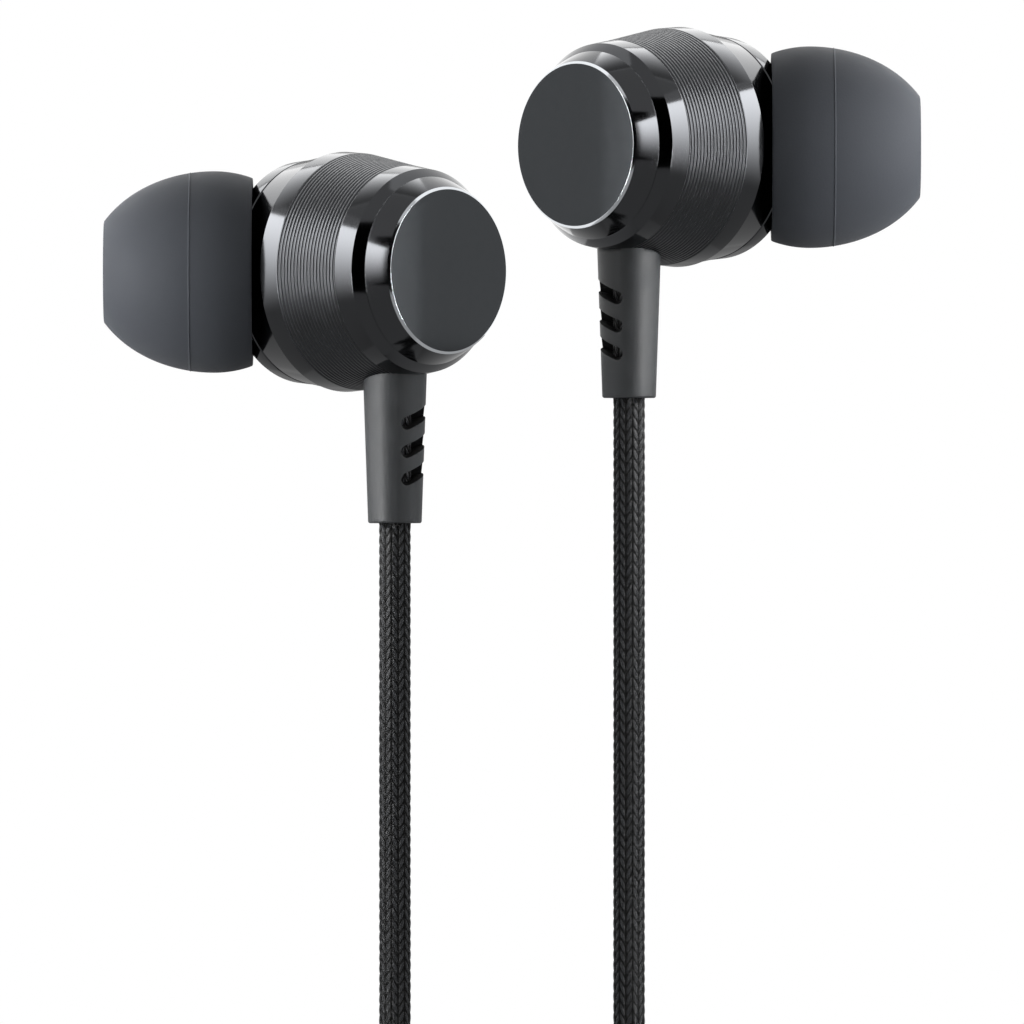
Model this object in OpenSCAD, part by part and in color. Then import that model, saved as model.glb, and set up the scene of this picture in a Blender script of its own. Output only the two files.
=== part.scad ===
// Wired in-ear earphones: two turned metal earpieces with angled nozzles and
// silicone ear tips, hanging on braided leads that run through a coil to a
// Y-split and a 3.5 mm plug. Millimetres, +Z up, the earpieces facing -Y.
// The origin is the left ear tip's centre, on the axis of its nozzle.

/* [Ear tip] */
// Widest diameter of the silicone ear tip
tip_d = 12.6; // [11:0.1:14]
// Length from the widest section to the mouth
tip_front = 6.9; // [6:0.1:7.5]
// Length from the widest section to the rim of the skirt
tip_back = 2.4; // [2:0.1:2.6]

/* [Earpiece] */
// Angle between the nozzle and the barrel
bend_angle = 45; // [40:1:50]
// Distance from the tip's widest section to the barrel's axis
bend_x = 7.7; // [7.4:0.1:8.2]
// Largest radius of the barrel
barrel_r = 7.5; // [7.4:0.05:7.8]
// Number of fine turned grooves around the barrel
groove_count = 16; // [8:1:20]
// Depth of one groove
groove_depth = 0.08; // [0.04:0.01:0.1]

/* [Cord] */
// Diameter of the two braided leads
lead_d = 2; // [1.8:0.1:2]
// Diameter of the main cord below the split
main_d = 2.2; // [2:0.1:2.2]
// Turns of each lead in the coil, counted in whole turns before the exit
lead_turns = 4; // [3:1:4]
// Turns of the main cord in the coil, counted the same way
main_turns = 8; // [6:1:8]

/* [Pair] */
// Sideways distance between the two ear tips' centres
pair_x = 37.2; // [36:0.2:42]
// Height of the right earpiece above the left one
pair_z = 7.8; // [4:0.2:9]

/* [Hidden] */
EARPIECE_NODES = [
    "ear_tip", "front_shell", "nozzle_mesh", "nozzle_damper", "barrel",
    "rear_cap", "strain_relief", "driver_cover", "driver_gasket",
    "driver_frame", "driver_yoke", "driver_magnet", "pole_plate",
    "voice_coil", "diaphragm", "driver_board", "conductors", "cord_core",
    "cord_stop"
];

$fn = 96;
eps = 0.01;

// Ear tip
tip_r = tip_d / 2;
tip_mouth_r = tip_r / 2;          // the dome is cut off at half its radius
dome_len = tip_front / sin(60);   // so its ellipse meets the mouth at 60 deg
skirt_len = 6.6;                  // ellipse that draws the skirt in again
skirt_wall = 0.34;
tip_bore_r = 2.5;
tip_stem_r = 3.1;
tip_stem_end = 0.2;

// Barrel stations: distance along its axis from the bend, and radius
front_h = -2.85;
front_r = barrel_r - 0.55;
seam_h = -1.65;
seam_r = barrel_r - 0.45;
shoulder_h = 0.7;
groove_start_h = 2.1;
groove_start_r = barrel_r - 0.1;
groove_end_h = 6.4;
groove_end_r = barrel_r - 0.95;
neck_h = 7.7;
neck_r = barrel_r - 1.15;
cap_seat_h = 8.35;
cap_seat_r = barrel_r - 1.65;
cap_rim_h = 9.65;
cap_rim_r = 5.25;
cap_face_h = 9.85;
cap_face_r = 5;
seam_bevel = 0.07;

// Front shell
chamfer_h = -3.3;
chamfer_r = 6.4;
dome_rise = 1.4;
dome_r = (chamfer_r * chamfer_r + dome_rise * dome_rise) / (2 * dome_rise);
chamber_r = 5.4;
neck_base_r = 2.9;
nozzle_r = 2.15;
nozzle_lip_r = 2.35;
nozzle_bore_r = 1.65;
nozzle_mouth_x = -6.3;
mesh_seat_r = 1.85;

// Bores of the barrel and the driver stack inside it
front_bore_r = 6.2;
rear_bore_r = 5.2;
driver_seat_h = 1.9;
driver_r = 6.1;
spigot_end_h = -0.65;
cover_h = -0.4;
frame_h = -0.15;
yoke_h = 1.3;
yoke_back_h = 3.3;

// Strain relief and the cord inside it
relief_h = 5.1;                   // where it meets the barrel's axis
relief_end_z = -15.7;
relief_top_r = 2.02;
relief_end_r = 1.67;
relief_spigot_r = 1.55;
relief_hole_r = 1.6;
relief_flange_z = -4.75;
slot_zs = [-9.1, -10.87, -12.6];
slot_w = 0.8;
slot_x = 0.68;
slot_rise = 18;
slot_dip = 13;
slot_back_y = 0.6;
core_drop = 3.9;                  // end of the cord below the barrel's axis
pad_drop = 1.2;                   // the board's pads below that axis
pad_y = 0.45;

// Where a lead leaves its earpiece, in the earpiece's frame
lead_x = bend_x + relief_h * sin(bend_angle);
lead_y = -relief_h * cos(bend_angle);

// Coil: its centre, and the layers that lie either side of it along Y
coil_x = pair_x / 2;
coil_y = lead_y;
coil_z = -78;
lead_r = lead_d / 2;
main_r = main_d / 2;
lead_pitch = lead_d + 0.55;
main_pitch = main_d + 0.6;
coil_out_r = 19;
lead_out_r = 15;
layer_gap = (lead_d + main_d) / 2 + 0.5;
inner_layer = main_pitch / 2 + layer_gap;
outer_layer = inner_layer + lead_pitch;
enter_angle = 135;
leave_angle = 200;
lead_sweep = 360 * lead_turns + leave_angle - enter_angle;
main_sweep = 360 * main_turns + 180;
right_tuck = 0.3;                 // takes up the right lead's longer drop
loop_rings = 24;

// Pieces on the cord
split_top_z = -108;
split_len = 16;
split_core_r = 2.35;
split_sleeve_r = 2.75;
split_gap = 1.1;
boot_top_z = -97;
boot_len = 10;
plug_shell_len = 18;
plug_shell_r = 3.25;
plug_pin_r = 1.75;
plug_root_r = 2.1;
plug_core_r = 1.1;
plug_groove_r = 1.4;
plug_rod_r = 0.6;
shell_top_z = boot_top_z - boot_len;
pin_z = shell_top_z - plug_shell_len;
plug_x = coil_x - coil_out_r;
plug_y = coil_y + main_pitch / 2;

// Routes of the cords where they are not coiled, each from its upper end.
// The ends that meet a coil are added to these by the modules below.
left_drop = [
    [lead_x, lead_y, -26],
    [lead_x, lead_y, -36.5], [lead_x, lead_y, -47],
    [lead_x - 0.1, lead_y - 2.2, -53],
    [lead_x - 0.7, coil_y - inner_layer, -61.5]
];
left_tail = [
    [8, -10, -91.5], [13.4, -7.4, -99.4], [17.1, -4.2, -105]
];
right_drop = [
    [pair_x - lead_x, lead_y, -22], [pair_x - lead_x, lead_y, -34.5],
    [pair_x - lead_x, lead_y, -47],
    [pair_x - lead_x + 0.1, lead_y + 2.2, -53],
    [pair_x - lead_x + 0.7, coil_y + inner_layer, -61.5]
];
right_tail = [
    [29.2, 2.8, -91.5], [23.8, 0.2, -99.4], [20.1, -3, -105]
];
main_turn = [
    [18.6, -3.6, -128], [20.2, -3.6, -133], [25.6, -3.8, -136],
    [31, -4.2, -133], [33.4, -4.6, -127.5], [34.8, -5, -118],
    [36.4, -5, -105], [37.4, -5, -92]
];

// ---- Curves ----

function unit(v) = v / norm(v);

// Smooth curve through the points of a route, with steps between each pair
function curve(p, steps) = [
    for (i = [0 : len(p) - 2]) for (k = [0 : steps - 1])
        let (
            t = k / steps,
            a = p[max(i - 1, 0)], b = p[i], c = p[i + 1],
            d = p[min(i + 2, len(p) - 1)]
        )
        0.5 * (2 * b + (c - a) * t + (2 * a - 5 * b + 4 * c - d) * t * t
            + (3 * b - a - 3 * c + d) * t * t * t),
    p[len(p) - 1]
];

function length_of(p) = len(p) < 2 ? 0
    : [for (i = 0, s = 0; i < len(p); i = i + 1,
        s = s + (i < len(p) ? norm(p[i] - p[i - 1]) : 0)) s][len(p) - 1];

// Two piled layers: the radius draws in to the middle of the sweep and out
// again at a steady rate, and the cord changes layer in the half turn there.
function wind_radius(a, sweep, out_r, pitch) =
    let (d = abs(a - sweep / 2), most = sweep / 2)
    out_r - pitch / 360 * (most - (d < 90 ? d * d / 180 + 45 : d));
function ease(t) = let (u = min(max(t, 0), 1)) u * u * (3 - 2 * u);
function wind_point(a, sweep, out_r, pitch, start, turn, y_a, y_b) =
    let (
        r = wind_radius(a, sweep, out_r, pitch),
        y = y_a + (y_b - y_a) * ease((a - sweep / 2 + 90) / 180),
        angle = start + turn * a
    )
    [coil_x + r * cos(angle), coil_y + y, coil_z + r * sin(angle)];

// A whole winding, its ends running straight for one diameter
function winding(sweep, out_r, pitch, start, turn, y_a, y_b, d) =
    let (
        n = round(sweep / 360 * loop_rings),
        w = [for (i = [0 : n])
            wind_point(i * sweep / n, sweep, out_r, pitch, start, turn,
                y_a, y_b)],
        first = unit(w[1] - w[0]),
        last = unit(w[n] - w[n - 1])
    )
    concat([w[0] - first * d], w, [w[n] + last * d]);

// Least gap between one turn of a winding and another
function least_gap(w, d) = min([
    for (i = [1 : len(w) - 2 - loop_rings / 2])
        for (j = [i + loop_rings / 2 : len(w) - 2]) norm(w[i] - w[j])
]) - d;

left_wind = winding(lead_sweep, lead_out_r, lead_pitch, enter_angle, 1,
    -inner_layer, -outer_layer, lead_d);
right_wind = winding(lead_sweep, lead_out_r - right_tuck, lead_pitch,
    180 - enter_angle, -1, inner_layer, outer_layer, lead_d);
main_wind = winding(main_sweep, coil_out_r, main_pitch, 0, 1,
    -main_pitch / 2, main_pitch / 2, main_d);

function last_of(p) = p[len(p) - 1];
function end_dir(p) = unit(p[len(p) - 1] - p[len(p) - 2]);

// A route from one end to the other through its points, straight for a
// short way at each end so that it meets the piece there squarely
function route(start, start_dir, points, end, end_dir, d) = concat(
    [start],
    curve(concat([start + start_dir * d], points, [end - end_dir * d]), 2),
    [end]
);
down = [0, 0, -1];

left_upper = route([lead_x, lead_y, relief_end_z], down, left_drop,
    left_wind[0], unit(left_wind[1] - left_wind[0]), lead_d);
left_lower = route(last_of(left_wind), end_dir(left_wind), left_tail,
    [coil_x - split_gap, coil_y, split_top_z], down, lead_d);
right_upper = route([pair_x - lead_x, lead_y, pair_z + relief_end_z],
    down, right_drop, right_wind[0], unit(right_wind[1] - right_wind[0]),
    lead_d);
right_lower = route(last_of(right_wind), end_dir(right_wind), right_tail,
    [coil_x + split_gap, coil_y, split_top_z], down, lead_d);
main_upper = route([coil_x, coil_y, split_top_z - split_len], down,
    main_turn, main_wind[0], unit(main_wind[1] - main_wind[0]), main_d);
main_lower = route(last_of(main_wind), end_dir(main_wind),
    [[plug_x, plug_y, -88]], [plug_x, plug_y, boot_top_z], down, main_d);

// ---- Shapes used by several pieces ----

// Closed tube along a path, with triangles on its sides and ends
module tube(path, d, sides) {
    n = len(path);
    rings = [
        for (i = [0 : n - 1])
            let (
                along = unit(path[min(i + 1, n - 1)] - path[max(i - 1, 0)]),
                side = unit(cross(along, [0, 1, 0])),
                up = cross(side, along)
            )
            for (k = [0 : sides - 1])
                path[i] + d / 2 * (cos(360 * k / sides) * side
                    + sin(360 * k / sides) * up)
    ];
    walls = [
        for (i = [0 : n - 2]) for (k = [0 : sides - 1])
            let (
                a = i * sides + k, b = i * sides + (k + 1) % sides,
                c = a + sides, e = b + sides
            )
            for (face = [[a, b, c], [b, e, c]]) face
    ];
    start_cap = [for (k = [1 : sides - 2]) [0, k + 1, k]];
    end_ring = (n - 1) * sides;
    end_cap = [for (k = [1 : sides - 2])
        [end_ring, end_ring + k, end_ring + k + 1]];
    polyhedron(rings, concat(walls, start_cap, end_cap));
}

// Solid turned from points of [distance along, radius], closed on the axis
module turned(profile) {
    rotate_extrude()
        polygon([for (p = concat([[profile[0][0], 0]], profile,
            [[last_of(profile)[0], 0]])) [p[1], p[0]]]);
}

// Puts a piece drawn along +Z onto the nozzle's axis, +Z becoming +X
module on_nozzle() rotate([0, 90, 0]) children();

// Puts a piece drawn along +Z onto the barrel's axis, from the bend outwards
module on_barrel()
    translate([bend_x, 0, 0]) rotate([0, 0, -bend_angle])
        rotate([0, 90, 0]) children();

module on_relief() translate([lead_x, lead_y, 0]) children();

module disc_tube(h0, h1, r_out, r_in)
    translate([0, 0, h0]) difference() {
        cylinder(h = h1 - h0, r = r_out);
        translate([0, 0, -1]) cylinder(h = h1 - h0 + 2, r = r_in);
    }

module disc(h0, h1, r) translate([0, 0, h0]) cylinder(h = h1 - h0, r = r);

// Smooth outside of the barrel, over the crests of its grooves
module barrel_envelope()
    on_barrel() turned([
        [seam_h, seam_r], [shoulder_h, groove_start_r],
        [shoulder_h, barrel_r], [groove_start_h, groove_start_r],
        [groove_end_h, groove_end_r], [neck_h, neck_r],
        [cap_seat_h, cap_seat_r], [cap_rim_h, cap_rim_r],
        [cap_face_h, cap_face_r]
    ]);

// ---- Earpiece ----

function tip_outer(x) = tip_r * sqrt(1 - pow(x / (x < 0 ? dome_len
    : skirt_len), 2));

module ear_tip() {
    outer = [for (i = [0 : 20])
        let (x = -tip_front + i * (tip_front + tip_back) / 20)
        [x, tip_outer(x)]];
    inner = [for (i = [0 : 12])
        let (x = tip_back - i * (tip_back + 5.2) / 12)
        [x, tip_outer(x) - skirt_wall - (tip_back - x) * 0.04]];
    color("#45484b") on_nozzle() rotate_extrude()
        polygon([for (p = concat(outer, inner, [
            [-5.5, tip_stem_r + 0.25], [-5.2, tip_stem_r],
            [tip_stem_end - 0.15, tip_stem_r],
            [tip_stem_end, tip_stem_r - 0.15], [tip_stem_end, tip_bore_r],
            [-tip_front, tip_bore_r]
        ])) [p[1], p[0]]]);
}

module front_shell() {
    color("#2b2d30") difference() {
        union() {
            on_barrel() {
                turned([[chamfer_h, chamfer_r], [front_h, front_r],
                    [seam_h - seam_bevel, seam_r],
                    [seam_h, seam_r - seam_bevel]]);
                disc(seam_h - eps, spigot_end_h, front_bore_r - 0.05);
                turned(concat([for (i = [0 : 10])
                    let (t = i * asin(chamfer_r / dome_r) / 10)
                    [chamfer_h - dome_rise + dome_r * (1 - cos(t)),
                        dome_r * sin(t)]], [[front_h, chamfer_r]]));
            }
            on_nozzle() turned([
                [nozzle_mouth_x, nozzle_r - 0.1],
                [nozzle_mouth_x + 0.1, nozzle_r],
                [nozzle_mouth_x + 0.5, nozzle_r],
                [nozzle_mouth_x + 0.75, nozzle_lip_r],
                [nozzle_mouth_x + 1.1, nozzle_lip_r],
                [nozzle_mouth_x + 1.4, nozzle_r],
                [0.4, nozzle_r], [0.4, nozzle_r + 0.2],
                [4.5, neck_base_r]
            ]);
        }
        on_barrel() disc(front_h - 0.1, spigot_end_h + 1, chamber_r);
        on_nozzle() {
            disc(nozzle_mouth_x - 1, 5.6, nozzle_bore_r);
            disc(nozzle_mouth_x - 1, nozzle_mouth_x + 0.35, mesh_seat_r);
        }
    }
}

module nozzle_mesh() {
    hole_pitch = 0.5;
    rows = 3;
    color("#8d9094") on_nozzle() difference() {
        disc(nozzle_mouth_x + 0.15, nozzle_mouth_x + 0.35, mesh_seat_r);
        for (q = [-rows : rows]) for (s = [-rows : rows])
            if (abs(q + s) <= rows)
                translate([hole_pitch * (q + s / 2),
                    hole_pitch * s * sin(60), nozzle_mouth_x - 1])
                    cylinder(h = 3, r = 0.17, $fn = 24);
    }
}

module nozzle_damper()
    color("#3c3c3c") on_nozzle()
        disc(nozzle_mouth_x + 0.45, nozzle_mouth_x + 1.6,
            nozzle_bore_r - 0.02);

module barrel() {
    step = (groove_end_h - groove_start_h) / groove_count;
    fall = (groove_start_r - groove_end_r) / groove_count;
    grooves = [for (i = [0 : groove_count - 1]) for (p = [
        [groove_start_h + i * step + step * 0.3,
            groove_start_r - i * fall - fall * 0.3],
        [groove_start_h + i * step + step * 0.65,
            groove_start_r - i * fall - fall * 0.65 - groove_depth],
        [groove_start_h + i * step + step,
            groove_start_r - i * fall - fall]]) p];
    color("#3a3c3f") difference() {
        on_barrel() turned(concat([
            [seam_h, seam_r - seam_bevel], [seam_h + seam_bevel, seam_r],
            [shoulder_h - 0.04, groove_start_r],
            [shoulder_h + 0.04, barrel_r],
            [groove_start_h, groove_start_r]
        ], grooves, [
            [neck_h, neck_r], [cap_seat_h, cap_seat_r]
        ]));
        on_barrel() {
            disc(seam_h - 1, driver_seat_h, front_bore_r);
            disc(driver_seat_h - eps, cap_seat_h + 1, rear_bore_r);
        }
        on_relief() translate([0, 0, relief_flange_z - 5])
            cylinder(h = 6, r = relief_hole_r);
    }
}

module rear_cap()
    color("#33363a") on_barrel() difference() {
        union() {
            turned([[cap_seat_h, cap_seat_r], [cap_rim_h, cap_rim_r],
                [cap_face_h, cap_face_r]]);
            disc(neck_h - 0.5, cap_seat_h + eps, rear_bore_r - 0.05);
        }
        disc(neck_h - 2, cap_face_h - 0.8, 4.4);
    }

// A slot sawn in from the front, rising outwards from its round inner end
module relief_slot(z)
    translate([slot_x, 0, z]) rotate([slot_dip, -slot_rise, 0]) {
        translate([0, slot_back_y - 4, -slot_w / 2]) cube([4, 4, slot_w]);
        translate([0, slot_back_y, 0]) rotate([90, 0, 0])
            cylinder(h = 4, r = slot_w / 2);
    }

module strain_relief() {
    edge = 0.15;
    color("#4a4d50") difference() {
        union() {
            difference() {
                on_relief() turned([
                    [relief_end_z, relief_end_r - edge],
                    [relief_end_z + edge, relief_end_r],
                    [-5.5, relief_top_r], [-4.9, relief_top_r]
                ]);
                barrel_envelope();
            }
            on_relief() {
                disc(-7.5, relief_flange_z + 0.1, relief_spigot_r);
                disc(relief_flange_z, relief_flange_z + 0.35, 2);
            }
        }
        on_relief() {
            translate([0, 0, relief_end_z - 1])
                cylinder(h = 14, r = lead_r);
            for (z = slot_zs) relief_slot(z);
        }
    }
}

module driver_cover()
    color("#9a9ca0") on_barrel() difference() {
        disc(cover_h, frame_h, driver_r);
        for (i = [0 : 6]) rotate([0, 0, i * 60])
            translate([i < 6 ? 2.6 : 0, 0, cover_h - 1])
                cylinder(h = 3, r = 0.55);
    }

module driver_gasket()
    color("#1d1d1f") on_barrel()
        disc_tube(spigot_end_h, cover_h, driver_r, chamber_r);

module driver_frame()
    color("#202124") on_barrel() difference() {
        disc(frame_h, driver_seat_h, driver_r);
        disc(frame_h - 1, driver_seat_h - 0.4, 5.45);
        disc(frame_h, driver_seat_h + 1, 3.9);
        for (i = [0 : 3]) rotate([0, 0, 45 + 90 * i])
            translate([4.6, 0, 0]) cylinder(h = 4, r = 0.35);
    }

module driver_yoke()
    color("#a9abad") on_barrel() difference() {
        disc(yoke_h, yoke_back_h, 3.9);
        disc(yoke_h - 1, yoke_back_h - 0.5, 3.35);
    }

module driver_magnet()
    color("#6f7276") on_barrel() disc(1.6, yoke_back_h - 0.5, 2.5);

module pole_plate()
    color("#b9bbbd") on_barrel() disc(1.2, 1.6, 2.65);

module voice_coil()
    color("#b5703a") on_barrel() disc_tube(0.75, 1.95, 3.15, 2.8);

module diaphragm()
    color("#c9b88a") on_barrel() rotate_extrude() polygon([
        [0, 0.15], [1.5, 0.22], [2.8, 0.55], [3.2, 0.62], [4.2, 0.35],
        [5, 0.5], [5.25, 0.6], [5.25, 0.75], [4.95, 0.72], [4.2, 0.5],
        [3.25, 0.75], [2.75, 0.75], [1.5, 0.36], [0, 0.29]
    ]);

module driver_board()
    color("#2f6b3f") on_barrel() {
        disc(yoke_back_h, yoke_back_h + 0.3, 2.4);
        for (side = [-1, 1]) translate([pad_drop, pad_y * side, 0])
            disc(yoke_back_h + 0.3 - eps, yoke_back_h + 0.45, 0.3);
    }

// Two insulated conductors up from the cord, each with a bare end that
// turns to its pad on the board
module conductors()
    for (side = [-1, 1])
        color("#b87333") on_barrel() translate([0, pad_y * side, 0]) {
            translate([pad_drop, 0, yoke_back_h + 0.45])
                cylinder(h = relief_h - yoke_back_h - 0.45, r = 0.12);
            translate([pad_drop - 0.3, 0, relief_h]) rotate([0, 90, 0])
                cylinder(h = core_drop - pad_drop + 0.3, r = 0.25);
        }

module cord_core()
    color("#1a1b1c") on_relief() translate([0, 0, relief_end_z])
        cylinder(h = -core_drop - relief_end_z, r = lead_r);

module cord_stop()
    color("#b0b2b4") on_relief()
        disc_tube(relief_flange_z + 0.35, relief_flange_z + 1.25, 1.7,
            lead_r);

// ---- Cords and the pieces on them ----

module left_lead() color("#1a1b1c") {
    tube(left_upper, lead_d, 8);
    tube(left_lower, lead_d, 8);
}

module right_lead() color("#1a1b1c") {
    tube(right_upper, lead_d, 8);
    tube(right_lower, lead_d, 8);
}

module main_cord() color("#1a1b1c") {
    tube(main_upper, main_d, 8);
    tube(main_lower, main_d, 8);
}

module left_lead_coil() color("#1a1b1c") tube(left_wind, lead_d, 6);
module right_lead_coil() color("#1a1b1c") tube(right_wind, lead_d, 6);
module main_coil() color("#1a1b1c") tube(main_wind, main_d, 6);

// Rounded rectangle of the given half sizes
module rounded(a, b, r) {
    square([2 * a, 2 * (b - r)], center = true);
    square([2 * (a - r), 2 * b], center = true);
    for (i = [-1, 1]) for (j = [-1, 1])
        translate([i * (a - r), j * (b - r)]) circle(r = r);
}

module cord_tie() {
    low = 5.4;
    high = coil_out_r + main_r + 0.3;
    half_h = (high - low) / 2;
    half_y = outer_layer + lead_r + 0.3;
    wall = 0.8;
    width = 4;
    corner = 4;
    color("#2a2c2e")
        translate([coil_x - width / 2, coil_y, coil_z + (low + high) / 2])
            rotate([90, 0, 90]) linear_extrude(width) difference() {
                rounded(half_y + wall, half_h + wall, corner + wall);
                rounded(half_y, half_h, corner);
            }
}

module y_split_core()
    color("#3a3c3f") translate([coil_x, coil_y, 0])
        disc(split_top_z - split_len, split_top_z, split_core_r);

module y_split_sleeve()
    color("#3a3c3f") translate([coil_x, coil_y, 0]) difference() {
        turned([
            [split_top_z - split_len + 0.5, split_sleeve_r - 0.25],
            [split_top_z - split_len + 0.75, split_sleeve_r],
            [split_top_z - 0.75, split_sleeve_r],
            [split_top_z - 0.5, split_sleeve_r - 0.25]
        ]);
        disc(split_top_z - split_len, split_top_z, split_core_r);
    }

module on_plug() translate([plug_x, plug_y, 0]) children();

module plug_boot()
    color("#4a4d50") on_plug() turned([
        [shell_top_z, 2.4], [boot_top_z - 0.2, 1.6],
        [boot_top_z, 1.4]
    ]);

module plug_shell()
    color("#3a3c3f") on_plug() difference() {
        turned([
            [pin_z, plug_shell_r - 0.5], [pin_z + 0.5, plug_shell_r],
            [shell_top_z - 1.2, plug_shell_r], [shell_top_z, 2.6]
        ]);
        disc(pin_z - 1, pin_z + 6, plug_root_r);
    }

module plug_sleeve_contact()
    color("#c9a861") on_plug() rotate_extrude() polygon([
        [plug_core_r, pin_z - 7.6], [plug_pin_r, pin_z - 7.6],
        [plug_pin_r, pin_z - 0.3], [plug_groove_r, pin_z - 0.3],
        [plug_groove_r, pin_z], [plug_root_r, pin_z],
        [plug_root_r, pin_z + 5], [plug_core_r, pin_z + 5]
    ]);

module plug_ring_contact()
    color("#c9a861") on_plug()
        disc_tube(pin_z - 10.2, pin_z - 8.2, plug_pin_r, plug_core_r);

module plug_insulator()
    color("#17181a") on_plug() difference() {
        union() {
            disc(pin_z - 10.8, pin_z + 5, plug_core_r);
            disc(pin_z - 8.2, pin_z - 7.6, plug_pin_r);
            disc(pin_z - 10.8, pin_z - 10.2, plug_pin_r);
        }
        disc(pin_z - 12, pin_z + 6, plug_rod_r);
    }

module plug_tip_contact()
    color("#c9a861") on_plug() turned([
        [pin_z - 14, 0.7], [pin_z - 13.4, 1.2], [pin_z - 12.6, 1.6],
        [pin_z - 12.2, 1.5], [pin_z - 11.7, 1.2], [pin_z - 11.3, 1.6],
        [pin_z - 11.1, plug_pin_r], [pin_z - 10.8, plug_pin_r],
        [pin_z - 10.8, plug_rod_r], [pin_z + 5, plug_rod_r]
    ]);

// ---- Assembly ----

module earpiece_part(name) {
    if (name == "ear_tip") ear_tip();
    if (name == "front_shell") front_shell();
    if (name == "nozzle_mesh") nozzle_mesh();
    if (name == "nozzle_damper") nozzle_damper();
    if (name == "barrel") barrel();
    if (name == "rear_cap") rear_cap();
    if (name == "strain_relief") strain_relief();
    if (name == "driver_cover") driver_cover();
    if (name == "driver_gasket") driver_gasket();
    if (name == "driver_frame") driver_frame();
    if (name == "driver_yoke") driver_yoke();
    if (name == "driver_magnet") driver_magnet();
    if (name == "pole_plate") pole_plate();
    if (name == "voice_coil") voice_coil();
    if (name == "diaphragm") diaphragm();
    if (name == "driver_board") driver_board();
    if (name == "conductors") conductors();
    if (name == "cord_core") cord_core();
    if (name == "cord_stop") cord_stop();
}

module on_right() translate([pair_x, 0, pair_z]) mirror([1, 0, 0]) children();

for (name = EARPIECE_NODES) {
    earpiece_part(name);
    on_right() earpiece_part(name);
}
left_lead();
left_lead_coil();
right_lead();
right_lead_coil();
main_cord();
main_coil();
cord_tie();
y_split_core();
y_split_sleeve();
plug_boot();
plug_shell();
plug_insulator();
plug_sleeve_contact();
plug_ring_contact();
plug_tip_contact();

echo(left_lead_length = length_of(left_upper) + length_of(left_wind)
    + length_of(left_lower));
echo(right_lead_length = length_of(right_upper) + length_of(right_wind)
    + length_of(right_lower));
echo(main_cord_length = length_of(main_upper) + length_of(main_wind)
    + length_of(main_lower));
echo(left_coil_gap = least_gap(left_wind, lead_d),
    right_coil_gap = least_gap(right_wind, lead_d),
    main_coil_gap = least_gap(main_wind, main_d));
echo(rings = len(left_upper) + len(left_lower) + len(right_upper)
    + len(right_lower) + len(main_upper) + len(main_lower));
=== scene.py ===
# %% [markdown]
# # Wired in-ear earphones
# Two turned aluminium earpieces with silicone ear tips hang on a braided
# cord. Lengths are written in millimetres, as on a maker's drawing, and
# multiplied by MM where Blender needs metres.

# %% Load the model
import math

import bpy
from mathutils import Matrix, Vector


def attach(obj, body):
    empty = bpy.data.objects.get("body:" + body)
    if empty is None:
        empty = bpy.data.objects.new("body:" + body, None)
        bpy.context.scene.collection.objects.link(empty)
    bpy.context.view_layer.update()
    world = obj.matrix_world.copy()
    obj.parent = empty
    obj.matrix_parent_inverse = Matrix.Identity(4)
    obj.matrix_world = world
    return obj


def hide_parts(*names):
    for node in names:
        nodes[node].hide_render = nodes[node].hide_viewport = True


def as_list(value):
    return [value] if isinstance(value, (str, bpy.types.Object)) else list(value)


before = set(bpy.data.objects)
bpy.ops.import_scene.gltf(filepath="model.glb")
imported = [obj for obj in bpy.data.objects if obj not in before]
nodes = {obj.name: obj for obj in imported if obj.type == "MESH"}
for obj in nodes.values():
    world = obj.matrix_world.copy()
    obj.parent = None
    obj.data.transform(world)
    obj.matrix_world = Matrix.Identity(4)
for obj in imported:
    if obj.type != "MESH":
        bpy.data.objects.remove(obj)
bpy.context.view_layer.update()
bpy.context.scene.view_settings.view_transform = "Standard"
MM = 0.001
SIDES = ("left", "right")

# %% [markdown]
# The earpieces are modelled once, on the left, and mirrored to the right.
# Each turned piece is drawn along Z as on a lathe and then laid on its axis:
# the ear tip on the nozzle's, the barrel and its cap on the barrel's, which
# leans 45 degrees away from it, and the strain relief on the cord's.

# %% Where the axes are
PAIR_X, PAIR_Z = 37.2, 7.8  # from the left earpiece to the right one
MID_X = PAIR_X / 2
BEND_X = 7.7                # where the barrel's axis crosses the nozzle's
LEAN = math.radians(45)
RELIEF_H = 5.1              # where the strain relief stands on the barrel
RELIEF_END_Z = -15.7
LEAD_X = BEND_X + RELIEF_H * math.sin(LEAN)
LEAD_Y = -RELIEF_H * math.cos(LEAN)
RIGHT_X = PAIR_X - LEAD_X

ON_NOZZLE = Matrix.Rotation(math.radians(90), 4, "Y")
ON_BARREL = (Matrix.Translation((BEND_X * MM, 0, 0))
             @ Matrix.Rotation(-LEAN, 4, "Z")
             @ Matrix.Rotation(math.radians(90), 4, "Y"))
ON_RELIEF = Matrix.Translation((LEAD_X * MM, LEAD_Y * MM, 0))
TO_RIGHT = (Matrix.Translation((PAIR_X * MM, 0, PAIR_Z * MM))
            @ Matrix.Scale(-1, 4, (1, 0, 0)))

# %% [markdown]
# ## The view
# A long lens from far away keeps both earpieces at the same scale, with the
# barrels' 45 degree lean showing in their bands alone. The lens and distance
# give a frame 64 mm wide at the nozzles' depth.

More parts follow.
